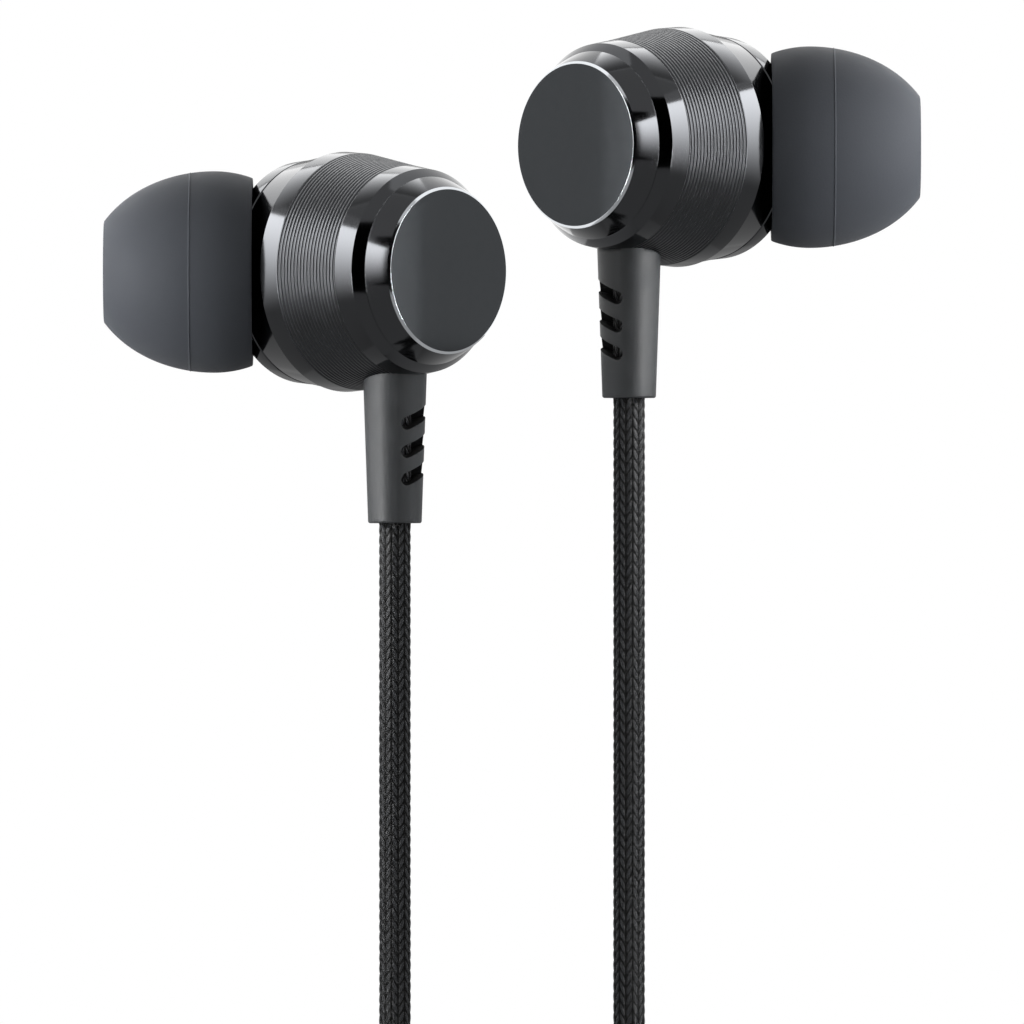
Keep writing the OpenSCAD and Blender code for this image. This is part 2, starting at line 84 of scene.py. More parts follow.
# %% Camera
VIEW_W, VIEW_Z = 64.0, -15.0
LENS, SENSOR = 600.0, 36.0
camera_data = bpy.data.cameras.new("camera")
camera_data.lens = LENS
camera_data.sensor_width = SENSOR
camera_data.clip_start = 0.05
camera_data.clip_end = 20.0
camera = bpy.data.objects.new("camera", camera_data)
bpy.context.scene.collection.objects.link(camera)
distance = VIEW_W * LENS / SENSOR
camera.location = (MID_X * MM, -distance * MM, VIEW_Z * MM)
camera.rotation_euler = (math.radians(90), 0, 0)
bpy.context.scene.camera = camera
print("camera stands", round(distance), "mm away")

# %% [markdown]
# ## The cord's routes
# Each lead drops from its strain relief, winds through the coil and joins
# the other in the Y-split. The main cord turns up from the split, winds
# through the coil and ends in the plug. The coil is piled in layers: a
# winding draws in to its middle turn, climbs one layer in the half turn
# there, and winds out again. The same rules place the model's own solids.

# %% Windings
COIL_X, COIL_Y, COIL_Z = MID_X, LEAD_Y, -78.0
LEAD_D, MAIN_D = 2.0, 2.2
LEAD_PITCH, MAIN_PITCH = LEAD_D + 0.55, MAIN_D + 0.6
LAYER_GAP = (LEAD_D + MAIN_D) / 2 + 0.5
INNER_LAYER = MAIN_PITCH / 2 + LAYER_GAP
OUTER_LAYER = INNER_LAYER + LEAD_PITCH
LEAD_OUT_R, MAIN_OUT_R, RIGHT_TUCK = 15.0, 19.0, 0.3
LEAD_SWEEP, MAIN_SWEEP = 360 * 4 + 65, 360 * 8 + 180
TURN_POINTS = 24


def wind(sweep, out_r, pitch, start, turn, y_a, y_b, d):
    """Points along one piled winding, with a straight piece at each end.

    It starts at angle start and turns by sweep degrees. Its radius falls
    one pitch a turn up to the middle of the sweep and then grows again. In
    the half turn about the middle it levels out and climbs from y_a to y_b.
    """
    def at(a):
        off, half = abs(a - sweep / 2), sweep / 2
        r = out_r - pitch / 360 * (half - (off * off / 180 + 45
                                           if off < 90 else off))
        t = min(max((a - half + 90) / 180, 0), 1)
        y = y_a + (y_b - y_a) * t * t * (3 - 2 * t)
        angle = math.radians(start + turn * a)
        return Vector((COIL_X + r * math.cos(angle), COIL_Y + y,
                       COIL_Z + r * math.sin(angle)))
    n = round(sweep / 360 * TURN_POINTS)
    points = [at(i * sweep / n) for i in range(n + 1)]
    first = (points[1] - points[0]).normalized() * d
    last = (points[-1] - points[-2]).normalized() * d
    return [points[0] - first] + points + [points[-1] + last]


left_wind = wind(LEAD_SWEEP, LEAD_OUT_R, LEAD_PITCH, 135, 1,
                 -INNER_LAYER, -OUTER_LAYER, LEAD_D)
right_wind = wind(LEAD_SWEEP, LEAD_OUT_R - RIGHT_TUCK, LEAD_PITCH, 45, -1,
                  INNER_LAYER, OUTER_LAYER, LEAD_D)
main_wind = wind(MAIN_SWEEP, MAIN_OUT_R, MAIN_PITCH, 0, 1,
                 -MAIN_PITCH / 2, MAIN_PITCH / 2, MAIN_D)

# %% Whole routes
SPLIT_TOP_Z, SPLIT_LEN, SPLIT_GAP = -108.0, 16.0, 1.1
BOOT_TOP_Z = -97.0
PLUG_X, PLUG_Y = COIL_X - MAIN_OUT_R, COIL_Y + MAIN_PITCH / 2


def spline(p):
    """A smooth curve through the points p, four steps to each chord."""
    made = []
    for i in range(len(p) - 1):
        a, b, c = p[max(i - 1, 0)], p[i], p[i + 1]
        d = p[min(i + 2, len(p) - 1)]
        for t in (0, 0.25, 0.5, 0.75):
            made.append(0.5 * (2 * b + (c - a) * t
                               + (2 * a - 5 * b + 4 * c - d) * t * t
                               + (3 * b - a - 3 * c + d) * t ** 3))
    return made + [p[-1]]


def stretch(start, start_dir, points, end, end_dir, d):
    """A free stretch of cord d thick that leaves and arrives straight."""
    start, end = Vector(start), Vector(end)
    middle = [Vector(p) for p in points]
    return ([start] + spline([start + start_dir * d] + middle
                             + [end - end_dir * d]) + [end])


DOWN = Vector((0, 0, -1))
windings = left_wind, right_wind, main_wind
first_way = [(w[1] - w[0]).normalized() for w in windings]
last_way = [(w[-1] - w[-2]).normalized() for w in windings]
left_route = (
    stretch((LEAD_X, LEAD_Y, RELIEF_END_Z), DOWN,
            [(LEAD_X, LEAD_Y, -26), (LEAD_X, LEAD_Y, -36.5),
             (LEAD_X, LEAD_Y, -47), (LEAD_X - 0.1, LEAD_Y - 2.2, -53),
             (LEAD_X - 0.7, COIL_Y - INNER_LAYER, -61.5)],
            left_wind[0], first_way[0], LEAD_D)[:-1] + left_wind[:-1]
    + stretch(left_wind[-1], last_way[0],
              [(8, -10, -91.5), (13.4, -7.4, -99.4), (17.1, -4.2, -105)],
              (COIL_X - SPLIT_GAP, COIL_Y, SPLIT_TOP_Z), DOWN, LEAD_D))
right_route = (
    stretch((RIGHT_X, LEAD_Y, PAIR_Z + RELIEF_END_Z), DOWN,
            [(RIGHT_X, LEAD_Y, -22), (RIGHT_X, LEAD_Y, -34.5),
             (RIGHT_X, LEAD_Y, -47), (RIGHT_X + 0.1, LEAD_Y + 2.2, -53),
             (RIGHT_X + 0.7, COIL_Y + INNER_LAYER, -61.5)],
            right_wind[0], first_way[1], LEAD_D)[:-1] + right_wind[:-1]
    + stretch(right_wind[-1], last_way[1],
              [(29.2, 2.8, -91.5), (23.8, 0.2, -99.4), (20.1, -3, -105)],
              (COIL_X + SPLIT_GAP, COIL_Y, SPLIT_TOP_Z), DOWN, LEAD_D))
main_route = (
    stretch((COIL_X, COIL_Y, SPLIT_TOP_Z - SPLIT_LEN), DOWN,
            [(18.6, -3.6, -128), (20.2, -3.6, -133), (25.6, -3.8, -136),
             (31, -4.2, -133), (33.4, -4.6, -127.5), (34.8, -5, -118),
             (36.4, -5, -105), (37.4, -5, -92)],
            main_wind[0], first_way[2], MAIN_D)[:-1] + main_wind[:-1]
    + stretch(main_wind[-1], last_way[2], [(PLUG_X, PLUG_Y, -88)],
              (PLUG_X, PLUG_Y, BOOT_TOP_Z), DOWN, MAIN_D))


def length(points):
    """The length of the chords through the points."""
    return sum((b - a).length for a, b in zip(points, points[1:]))


for name, route in (("left lead", left_route), ("right lead", right_route),
                    ("main cord", main_route)):
    print(name, "is", round(length(route), 1), "mm long")

# %% [markdown]
# The braid is fourteen columns of slanting stitches whose lean alternates
# from column to column, which the eye reads as rows of little Vs. Where the
# leads hang by themselves the stitches are real relief in the mesh. In the
# coil, which is seen from further off, the same pattern is left to the
# material's bump, because relief there would cost millions of faces. Both
# read the piece's UV map: across it are the columns, along it the stitches.

# %% Stitches
BRAID_COLUMNS = 14
STITCH = 0.65            # one stitch along the cord
STITCH_LEAN = 1.05       # stitches that one lean climbs across its column
BRAID_DEPTH = 0.11
FINE_STEP = 0.065        # between rings where the braid is relief
PLAIN_STEP = 0.8         # and where it isn't
FADE_IN, FADE_OUT = 0.3, 1.5


def stitch_height(u, v):
    """Height of the braid, 0 to 1, at column u and stitch v.

    Each stitch has a broad top and steep sides, as a flat bundle of yarn."""
    column = math.floor(u)
    f = u - column
    way = 1 - 2 * (column % 2)
    t = (v + way * STITCH_LEAN * (f - 0.5)) % 1
    bulge = math.sin(math.pi * t) * (1 - (2 * f - 1) ** 2)
    return bulge * (2 - bulge)


# %% Rings along a route
def limp(route):
    """The route on a smooth curve, each point then averaged with the two
    on either side, as a limp cord has no corners where stretches meet."""
    made = spline(route)
    for _ in range(4):
        made = made[:2] + [sum(made[i - 2:i + 3], Vector()) / 5
                           for i in range(2, len(made) - 2)] + made[-2:]
    return made


def sample(route, step_at):
    """Rings along the route, (distance, place, direction), step by step."""
    route = limp(route)
    total = length(route)
    s, i, done, out = 0.0, 0, 0.0, []
    ways = [(b - a).normalized() for a, b in zip(route, route[1:])]
    corners = ([ways[0]]
               + [(a + b).normalized() for a, b in zip(ways, ways[1:])]
               + [ways[-1]])
    while s < total - 1e-6:
        while done + (route[i + 1] - route[i]).length < s:
            done += (route[i + 1] - route[i]).length
            i += 1
        t = (s - done) / (route[i + 1] - route[i]).length
        out.append((s, route[i].lerp(route[i + 1], t),
                    corners[i].lerp(corners[i + 1], t).normalized()))
        s += step_at(s)
    return out + [(total, route[-1], ways[-1])]


# %% Braided tube
def braided(name, route, d, sides, relief_mm, first=0):
    """A closed tube with real stitches over its first relief_mm.

    first is the column it starts on: 1 leans each stitch the other way."""
    rings = sample(route, lambda s:
                   FINE_STEP if s < relief_mm else PLAIN_STEP)
    verts, faces, uvs, relief = [], [], [], []
    for s, place, along in rings:
        side = along.cross(Vector((0, 1, 0))).normalized()
        up = side.cross(along)
        deep = min(1, s / FADE_IN, max(0, (relief_mm - s) / FADE_OUT)) \
            if s < relief_mm else 0
        for k in range(sides):
            a = 2 * math.pi * k / sides
            h = stitch_height(first + BRAID_COLUMNS * k / sides, s / STITCH)
            r = d / 2 - BRAID_DEPTH * deep * (1 - h) if deep else d / 2
            verts.append((place + r * (math.cos(a) * side
                                       + math.sin(a) * up)) * MM)
            relief.append(deep)
    for i in range(len(rings) - 1):
        for k in range(sides):
            a, b = i * sides + k, i * sides + (k + 1) % sides
            faces.append((a, b, b + sides, a + sides))
            u0, u1 = (first / BRAID_COLUMNS + (k + j) / sides
                      for j in (0, 1))
            v0, v1 = rings[i][0] / STITCH, rings[i + 1][0] / STITCH
            uvs += [(u0, v0), (u1, v0), (u1, v1), (u0, v1)]
    for start, order in ((0, -1), (len(verts) - sides, 1)):
        faces.append(tuple(range(start, start + sides))[::order])
        uvs += [(0, 0)] * sides
    mesh = bpy.data.meshes.new(name)
    mesh.from_pydata(verts, [], faces)
    uv_map = mesh.uv_layers.new(name="braid")
    uv_map.data.foreach_set("uv", [c for uv in uvs for c in uv])
    mesh.attributes.new("relief", "FLOAT", "POINT").data.foreach_set(
        "value", relief)
    mesh.polygons.foreach_set("use_smooth", [True] * len(faces))
    mesh.update()
    piece = bpy.data.objects.new(name, mesh)
    bpy.context.scene.collection.objects.link(piece)
    print(name, "has", len(faces), "faces")
    return piece


# %% Cords
left_cord = braided("braided_left_lead", left_route, LEAD_D, 84, 42, 1)
right_cord = braided("braided_right_lead", right_route, LEAD_D, 84, 48)
main_cord = braided("braided_main_cord", main_route, MAIN_D, 48, 0)

# %% [markdown]
# ## Light
# The pair hangs in plain white, without a floor. Polished metal shows what
# stands around it, so boards are placed for its reflections: a softbox at
# each side, brightest at its top, a smaller one in front of it, a narrow
# bright strip at the cords' height, softboxes above and behind, and dark
# flags in front, below and between the earpieces. Reflections alone see the
# boards. Three soft lamps and the world light the object's own colours at a
# plain level.

# %% A function for every material
def linear(code):
    """An sRGB hex code as the linear colour that Blender works in."""
    parts = [int(code[i:i + 2], 16) / 255 for i in (1, 3, 5)]
    return tuple(c / 12.92 if c <= 0.04045 else ((c + 0.055) / 1.055) ** 2.4
                 for c in parts) + (1.0,)


def add(tree, kind, settings=None, **links):
    """Adds a node. Settings are its own values or its inputs', and links
    name its inputs, with i and a number for those that share a name."""
    node = tree.nodes.new(kind)
    for key, value in (settings or {}).items():
        if hasattr(node, key):
            setattr(node, key, value)
        else:
            node.inputs[key].default_value = value
    for key, source in links.items():
        key = key.replace("_", " ")
        target = node.inputs[int(key[1:])] if key[1:].isdigit() \
            else node.inputs[key]
        if isinstance(source, (int, float, tuple)):
            target.default_value = source
        else:
            tree.links.new(source, target)
    return node


# %% World
world = bpy.data.worlds.new("studio")
bpy.context.scene.world = world
world.use_nodes = True
air = world.node_tree
air.nodes.clear()
ray = add(air, "ShaderNodeLightPath")
seen = add(air, "ShaderNodeMath", {"operation": "MAXIMUM"},
           i0=ray.outputs["Is Camera Ray"], i1=ray.outputs["Is Glossy Ray"])
seen = add(air, "ShaderNodeMath", {"operation": "MAXIMUM"},
           i0=seen.outputs[0], i1=ray.outputs["Is Transmission Ray"])
soft = add(air, "ShaderNodeBackground",
           {"Color": linear("#f2f4f6"), "Strength": 0.55})
white = add(air, "ShaderNodeBackground",
            {"Color": (1, 1, 1, 1), "Strength": 1.0})
mixed = add(air, "ShaderNodeMixShader", i0=seen.outputs[0],
            i1=soft.outputs[0], i2=white.outputs[0])
add(air, "ShaderNodeOutputWorld", Surface=mixed.outputs[0])

print("world is white to the camera, a soft grey to diffuse surfaces")


# %% Softboxes and flags
def card(name, centre, size, facing, top, bottom):
    """A board that only reflections see, lit from bottom to top."""
    bpy.ops.object.select_all(action="DESELECT")
    bpy.ops.mesh.primitive_plane_add(size=1)
    board = bpy.context.object
    board.name = name
    board.scale = (size[0] * MM, size[1] * MM, 1)
    # the plane's Y edge is the upper one; its face looks along facing
    board.rotation_euler = Vector(facing).to_track_quat("Z", "Y").to_euler()
    board.location = [c * MM for c in centre]
    glow = bpy.data.materials.new(name + "_cloth")
    glow.use_nodes = True
    tree = glow.node_tree
    tree.nodes.clear()
    place = add(tree, "ShaderNodeTexCoord")
    parts = add(tree, "ShaderNodeSeparateXYZ",
                Vector=place.outputs["Object"])
    fade = add(tree, "ShaderNodeMapRange",
               {"From Min": -0.5, "From Max": 0.5, "To Min": bottom,
                "To Max": top, "interpolation_type": "SMOOTHSTEP"},
               Value=parts.outputs["Y"])
    lit = add(tree, "ShaderNodeEmission", Strength=fade.outputs[0])
    add(tree, "ShaderNodeOutputMaterial", Surface=lit.outputs[0])
    board.data.materials.append(glow)
    board.visible_camera = board.visible_diffuse = False
    board.visible_shadow = board.visible_transmission = False


# the right-hand boards stand as far from the right earpiece as the left-hand
# ones from the left, and higher as it hangs higher
for side, x, near, facing, z in (("left", -300, -20, 1, 0),
                                 ("right", PAIR_X + 300, PAIR_X + 20, -1, 8)):
    card("softbox_" + side, (x, 15, z + 37), (490, 415), (facing, 0, 0),
         11.5, 0.4)
    card("softbox_front_" + side, (x, -322, z + 62), (184, 366),
         (facing, 0, 0), 11.5, 0.4)
    # the strip lights one thread along the cord; flags behind the cord and
    # the strain relief keep their edges from shining
    card("strip_" + side, (x + 4 * facing, -195, z - 75), (60, 120),
         (facing, 0, 0), 42, 42)
    card("flag_cord_" + side, (near, 32, z - 42), (100, 50),
         (facing, 0, 0), 0.4, 0.3)
    card("flag_relief_" + side, (near, 55, z - 11), (100, 12),
         (facing, 0, 0), 0.6, 0.4)
card("softbox_back", (MID_X, 440, 260), (900, 240), (0, -1, 0), 2.4, 2)
# its front edge is the upper one, so it brightens towards the back
card("softbox_top", (MID_X, 300, 500), (1100, 420), (0, -0.15, -1), 0.4, 5)
card("flag_top", (MID_X, -260, 530), (1100, 700), (0, 0.15, -1), 0.7, 0.7)
card("flag_front", (MID_X, -420, -20), (820, 900), (0, 1, 0), 0, 0)
card("flag_back", (MID_X, 430, -60), (900, 300), (0, -1, 0), 0.3, 0.3)
card("flag_below", (MID_X, 0, -160), (900, 900), (0, 0.01, 1), 0.4, 0.4)
card("flag_between_caps", (MID_X, 188, 20), (400, 50), (1, 0, 0), 1.6, 1.3)
card("flag_between_cords", (MID_X, 188, -35), (400, 60), (1, 0, 0),
     0.5, 0.3)


def lamp(name, place, aim, size, watts):
    """A soft area lamp that lights colours and leaves no bright patch."""
    data = bpy.data.lights.new(name, "AREA")
    data.size = size * MM
    data.energy = watts
    light = bpy.data.objects.new(name, data)
    bpy.context.scene.collection.objects.link(light)
    light.location = Vector(place) * MM
    light.rotation_euler = (Vector(aim) - Vector(place)).to_track_quat(
        "-Z", "Y").to_euler()
    light.visible_glossy = False


lamp("lamp_left", (-110, -30, -6), (0, 0, -2), 50, 0.36)
lamp("lamp_right", (147, -30, 2), (37, 0, 6), 50, 0.36)
lamp("lamp_top", (MID_X, -60, 190), (MID_X, 0, 0), 120, 0.04)

# %% [markdown]
# ## Finishes
# The metal is aluminium, turned on a lathe and anodised nearly black. The
# anodised skin keeps the metal's mirror, so its bands are dark mirrors, and
# the grooved band between them is dulled by its own grooves. Silicone and
# the moulded rubber of the strain relief have no shine of their own, only a
# broad soft sheen and a fine grain.

# %% Material helpers
def material(name, colour, metallic=0.0, roughness=0.5, **more):
    """A new material, its principled shader and its Object coordinates."""
    made = bpy.data.materials.new(name)
    made.use_nodes = True
    shader = made.node_tree.nodes["Principled BSDF"]
    shader.inputs["Base Color"].default_value = linear(colour)
    shader.inputs["Metallic"].default_value = metallic
    shader.inputs["Roughness"].default_value = roughness
    for key, value in more.items():
        shader.inputs[key.replace("_", " ")].default_value = value
    place = add(made.node_tree, "ShaderNodeTexCoord")
    return made, made.node_tree, shader, place.outputs["Object"]


def grain(made, size_mm, depth_mm, rough_spread=0.0, spots=None):
    """Gives a material the fine random relief of its surface.

    Broader patches vary its roughness, and its colour towards spots."""
    _, tree, shader, place = made
    noise = add(tree, "ShaderNodeTexNoise",
                {"Scale": 1 / (size_mm * MM), "Detail": 3.0,
                 "Roughness": 0.6}, Vector=place)
    bump = add(tree, "ShaderNodeBump",
               {"Strength": 1.0, "Distance": depth_mm * MM},
               Height=noise.outputs[0])
    tree.links.new(bump.outputs[0], shader.inputs["Normal"])
    base = shader.inputs["Roughness"].default_value
    broad = add(tree, "ShaderNodeTexNoise",
                {"Scale": 1 / (size_mm * 9 * MM), "Detail": 4.0},
                Vector=place)
    if rough_spread:
        spread = add(tree, "ShaderNodeMapRange",
                     {"From Min": 0.3, "From Max": 0.7,
                      "To Min": base - rough_spread,
                      "To Max": base + rough_spread},
                     Value=broad.outputs[0])
        tree.links.new(spread.outputs[0], shader.inputs["Roughness"])
    if spots:
        colour = shader.inputs["Base Color"].default_value[:]
        mix = add(tree, "ShaderNodeMix", {"data_type": "RGBA"},
                  i0=broad.outputs[0], i6=colour, i7=linear(spots))
        tree.links.new(mix.outputs[2], shader.inputs["Base Color"])
    return made


# %% Earpiece finishes
# Anodised aluminium, mirror turned: dark, with a crisp reflection.
polished = grain(material("anodised_aluminium_polished", "#464749", 1.0, 0.1),
                 0.9, 0.0002, 0.02)
# The same skin in the grooves, duller where the tool has scored it.
grooved = grain(material("anodised_aluminium_grooved", "#3f4042", 1.0, 0.34),
                0.12, 0.001, 0.04)
# The same skin on the cap's blasted face: an even, dark satin.
blasted = grain(material("anodised_aluminium_blasted", "#313335", 1.0, 0.42),
                0.07, 0.004, 0.04, "#36383a")
# A diamond tool cuts the chamfer last, so bare bright metal shows there.
bright_cut = grain(material("aluminium_diamond_cut", "#c9ccd0", 1.0, 0.12),
                   0.05, 0.0004, 0.02)
# Liquid silicone rubber: soft and matte, with hardly any reflection.
silicone = grain(material("silicone_rubber_moulded", "#333539", 0.0, 0.6,
                          Specular_IOR_Level=0.06, Sheen_Weight=0.02,
                          Sheen_Roughness=0.5),
                 0.16, 0.006, 0.05, "#35373b")
# Thermoplastic elastomer of the strain relief: a spark-eroded mould's fine
# grain and one broad, soft highlight.
elastomer = grain(material("elastomer_moulded", "#18191a", 0.0, 0.5,
                           Specular_IOR_Level=0.38),
                  0.11, 0.008, 0.06, "#202224")
# Inside the slots the elastomer is painted near black and dull: painted shade in
# the slots' recesses.
slot_shade = grain(material("elastomer_painted_slot_shade", "#060607", 0.0, 0.85,
                      Specular_IOR_Level=0.12), 0.08, 0.01, 0.05)

# %% [markdown]
# ## Turned pieces
# Each turned piece starts as the circle of its first station. The circle's
# edges are extruded to the next station and scaled to its radius, and so on
# along the outline, as a lathe tool walks. Outer corners are rounded in the
# outline, because a real edge always catches a line of light. The left piece
# is then copied and mirrored for the right.

# %% Edit mode helpers
WELD = 0.0005               # points this near to each other become one


def only(piece):
    """Makes the piece active, and selects it alone."""
    bpy.ops.object.select_all(action="DESELECT")
    bpy.context.view_layer.objects.active = piece
    piece.select_set(True)


def choose(piece, kind, wanted):
    """In edit mode, selects the vertices, edges or polygons wanted."""
    bpy.ops.mesh.select_all(action="DESELECT")
    bpy.ops.object.mode_set(mode="OBJECT")
    for part in getattr(piece.data, kind):
        part.select = wanted(part)
    bpy.ops.object.mode_set(mode="EDIT")


def welded():
    """Leaves edit mode with near points joined and all faces outwards."""
    bpy.ops.mesh.select_all(action="SELECT")
    bpy.ops.mesh.remove_doubles(threshold=WELD * MM)
    bpy.ops.mesh.normals_make_consistent(inside=False)
    bpy.ops.object.mode_set(mode="OBJECT")


# %% Lathe
TURN_SIDES = 192


def rounded(outline, steps=4):
    """The outline's points, with an arc at each (h, r, radius) corner.

    A corner without a radius stays sharp."""
    points = [Vector(p[:2]) for p in outline]
    out = []
    for i, p in enumerate(points):
        radius = outline[i][2] if len(outline[i]) > 2 else 0
        if not radius:
            out.append(p)
            continue
        to_a = (points[i - 1] - p).normalized()
        to_b = (points[(i + 1) % len(points)] - p).normalized()
        half = to_a.angle(to_b) / 2
        centre = p + (to_a + to_b).normalized() * radius / math.sin(half)
        a = p + to_a * radius / math.tan(half) - centre
        b = p + to_b * radius / math.tan(half) - centre
        for k in range(steps + 1):
            t = k / steps
            out.append(centre + (a * (1 - t) + b * t).normalized() * radius)
    return out


def turned(name, outline, closed=False, sides=TURN_SIDES):
    """A lathe-turned piece along Z, from its outline of (h, r) stations.

    A closed outline makes a ring. An open one gets a flat face each end."""
    bpy.ops.object.select_all(action="DESELECT")
    h, r = outline[0]
    bpy.ops.mesh.primitive_circle_add(vertices=sides, radius=r * MM,
                                      location=(0, 0, h * MM))
    piece = bpy.context.object
    piece.name = piece.data.name = name
    bpy.ops.object.transform_apply()
    bpy.ops.object.mode_set(mode="EDIT")
    bpy.ops.mesh.select_all(action="SELECT")
    for h_next, r_next in list(outline[1:]) + [outline[0]] * closed:
        bpy.ops.mesh.extrude_edges_move()
        bpy.ops.transform.translate(value=(0, 0, (h_next - h) * MM))
        bpy.ops.transform.resize(value=(r_next / r, r_next / r, 1),
                                 center_override=(0, 0, h_next * MM))
        h, r = h_next, r_next
    if not closed:
        bpy.ops.mesh.edge_face_add()
        choose(piece, "vertices", lambda vert: vert.index < sides)
        bpy.ops.mesh.edge_face_add()
    welded()
    return piece


# %% Finish, lay and mirror
def clad(piece, finishes, pick=None, angle=24):
    """Gives each face its finish, by height, radius and normal on Z."""
    for made in finishes:
        piece.data.materials.append(made[0])
    if pick:
        for face in piece.data.polygons:
            x, y, h = face.center / MM
            face.material_index = pick(h, math.hypot(x, y), face.normal.z)
    only(piece)
    bpy.ops.object.shade_smooth_by_angle(angle=math.radians(angle))


def laid(piece, matrix):
    """Moves a piece to its axis, with its place kept in its mesh."""
    only(piece)
    piece.matrix_world = matrix
    bpy.ops.object.transform_apply()
    return piece


def pair(piece, axis, base, body="body"):
    """Lays the left piece on its axis and makes the right one from it."""
    name = piece.name
    other = piece.copy()
    other.data = piece.data.copy()
    bpy.context.scene.collection.objects.link(other)
    for side, made, place in (("left", piece, axis),
                              ("right", other, TO_RIGHT @ axis)):
        made.name = made.data.name = f"{side}_{name}"
        laid(made, place)
        if side == "right":
            bpy.ops.object.mode_set(mode="EDIT")
            welded()
        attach(made, body if body == "body" else f"{side}_{body}")
        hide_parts(f"{side}_{base}")
    print(piece.name, "and its mirror:", len(piece.data.polygons), "faces")


# %% [markdown]
# ## Ear tips
# An ear tip's dome and skirt are one thin silicone wall round a sleeve that
# grips the nozzle. It is round all over, so its whole section is turned as
# one closed ring, which gives the wall its true thickness everywhere. A fine
# raised line shows where the two halves of the mould met.

# %% Ear tips
TIP_R, TIP_FRONT, TIP_BACK = 6.3, 7.967, 6.6
TIP_RIM_X, TIP_WALL = 2.4, 0.34
SEAM_X, SEAM_H = -1.5, 0.03


def tip_r(x):
    """The dome's radius: part of one ellipse in front, another behind."""
    return TIP_R * math.sqrt(
        1 - (x / (TIP_FRONT if x < 0 else TIP_BACK)) ** 2)


tip_out = []
x = -6.85
while x < 2.3 + 1e-6:
    on_seam = abs(x - SEAM_X) < 0.01
    tip_out.append((x, tip_r(x) + (SEAM_H if on_seam else 0)))
    # shorter steps beside the seam keep it a thin line
    x = round(x + (0.05 if -1.61 < x < -1.44 else 0.15), 6)
tip_rim = tip_r(TIP_RIM_X)
tip_out += [(2.37, tip_rim), (TIP_RIM_X, tip_rim - 0.05),
            (TIP_RIM_X, tip_rim - 0.28), (2.36, tip_rim - TIP_WALL)]
x = 2.15
while x > -5.2:
    # inside, the wall thickens from the rim towards the front
    tip_out.append((x, tip_r(x) - TIP_WALL - (TIP_RIM_X - x) * 0.04))
    x -= 0.25
tip_out += [(-5.45, 3.35), (-5.25, 3.1), (0.05, 3.1), (0.16, 3.04),
            (0.2, 2.95), (0.2, 2.55), (0.15, 2.5), (-6.78, 2.5),
            (-6.87, 2.56), (-6.9, 2.66), (-6.9, 3.1), (-6.885, 3.16)]
tip = turned("silicone_tip", tip_out, closed=True)
clad(tip, [silicone], angle=40)
pair(tip, ON_NOZZLE, "ear_tip", "tip")


# %% [markdown]
# ## Barrels
# Eighteen shallow grooves run round the barrel between two polished bands.
# They could be a bump, but they show in profile too, so they are turned with
# the rest. Each groove has round flanks, so its highlight is a soft line.

# %% Barrels
GROOVES, GROOVE_DEPTH = 18, 0.042
BAND_H, BAND_R = 2.1, 7.4       # where the grooved band starts
BAND_LEN, BAND_FALL = 4.3, 0.85
GROOVE = ((0.0, 0.0), (0.28, 0.0), (0.36, 0.25), (0.46, 0.78),
          (0.55, 1.0), (0.65, 1.0), (0.74, 0.78), (0.86, 0.25))
barrel_out = [(-1.65, 6.98, 0.03), (-1.58, 7.05, 0.05), (0.66, 7.4, 0.04),
              (0.74, 7.5, 0.05), (2.08, 7.403, 0.04)]
for i in range(GROOVES):
    for t, depth in GROOVE:
        k = (i + t) / GROOVES
        barrel_out.append((BAND_H + BAND_LEN * k,
                           BAND_R - BAND_FALL * k - GROOVE_DEPTH * depth))
barrel_out += [(6.4, 6.55), (6.43, 6.56, 0.03), (7.7, 6.35, 0.06),
               (8.35, 5.85, 0.03)]
barrel_in = [(8.35, 5.2), (1.9, 5.2), (1.9, 6.2), (-1.65, 6.2)]
barrel = turned("barrel_turned", rounded(barrel_out + barrel_in),
                closed=True)
clad(barrel, [polished, grooved], lambda h, r, n:
     1 if 2.11 < h < 6.4 and r > 6.3 else 0)
pair(barrel, ON_BARREL, "barrel")

# %% [markdown]
# ## Rear caps
# The cap's cone is polished like the bands, a diamond cut chamfer rings its
# face, and the face itself is blasted to a fine satin. It is one piece of
# metal, so it is turned as one, and each face takes the finish of its place.

# %% Rear caps
cap = turned("rear_cap_turned", rounded([
    (9.05, 4.4), (7.2, 4.4), (7.2, 5.15), (8.35, 5.15), (8.35, 5.83, 0.03),
    (8.38, 5.85, 0.02), (9.72, 5.2, 0.03), (9.85, 5.05, 0.03), (9.85, 4.6),
    (9.85, 0.6)]))
clad(cap, [polished, bright_cut, blasted], lambda h, r, n:
     2 if n > 0.97 and h > 9.5 else 1 if n > 0.62 and h > 9.65 else 0)
pair(cap, ON_BARREL, "rear_cap")


# %% [markdown]
# ## Front shells
# The shell is a shallow dome over the driver, with the nozzle drawn out of
# it along the ear's own axis. No single turning has both axes, so the two are
# turned apart and joined with a boolean, and two more booleans cut the
# driver's chamber and the nozzle's bore.

# %% Front shells
def cut(piece, tool, operation="DIFFERENCE"):
    """Applies a boolean with another mesh, which is used up."""
    only(piece)
    step = piece.modifiers.new("cut", "BOOLEAN")
    step.object, step.operation, step.solver = tool, operation, "EXACT"
    bpy.ops.object.modifier_apply(modifier=step.name)
    bpy.data.objects.remove(tool)


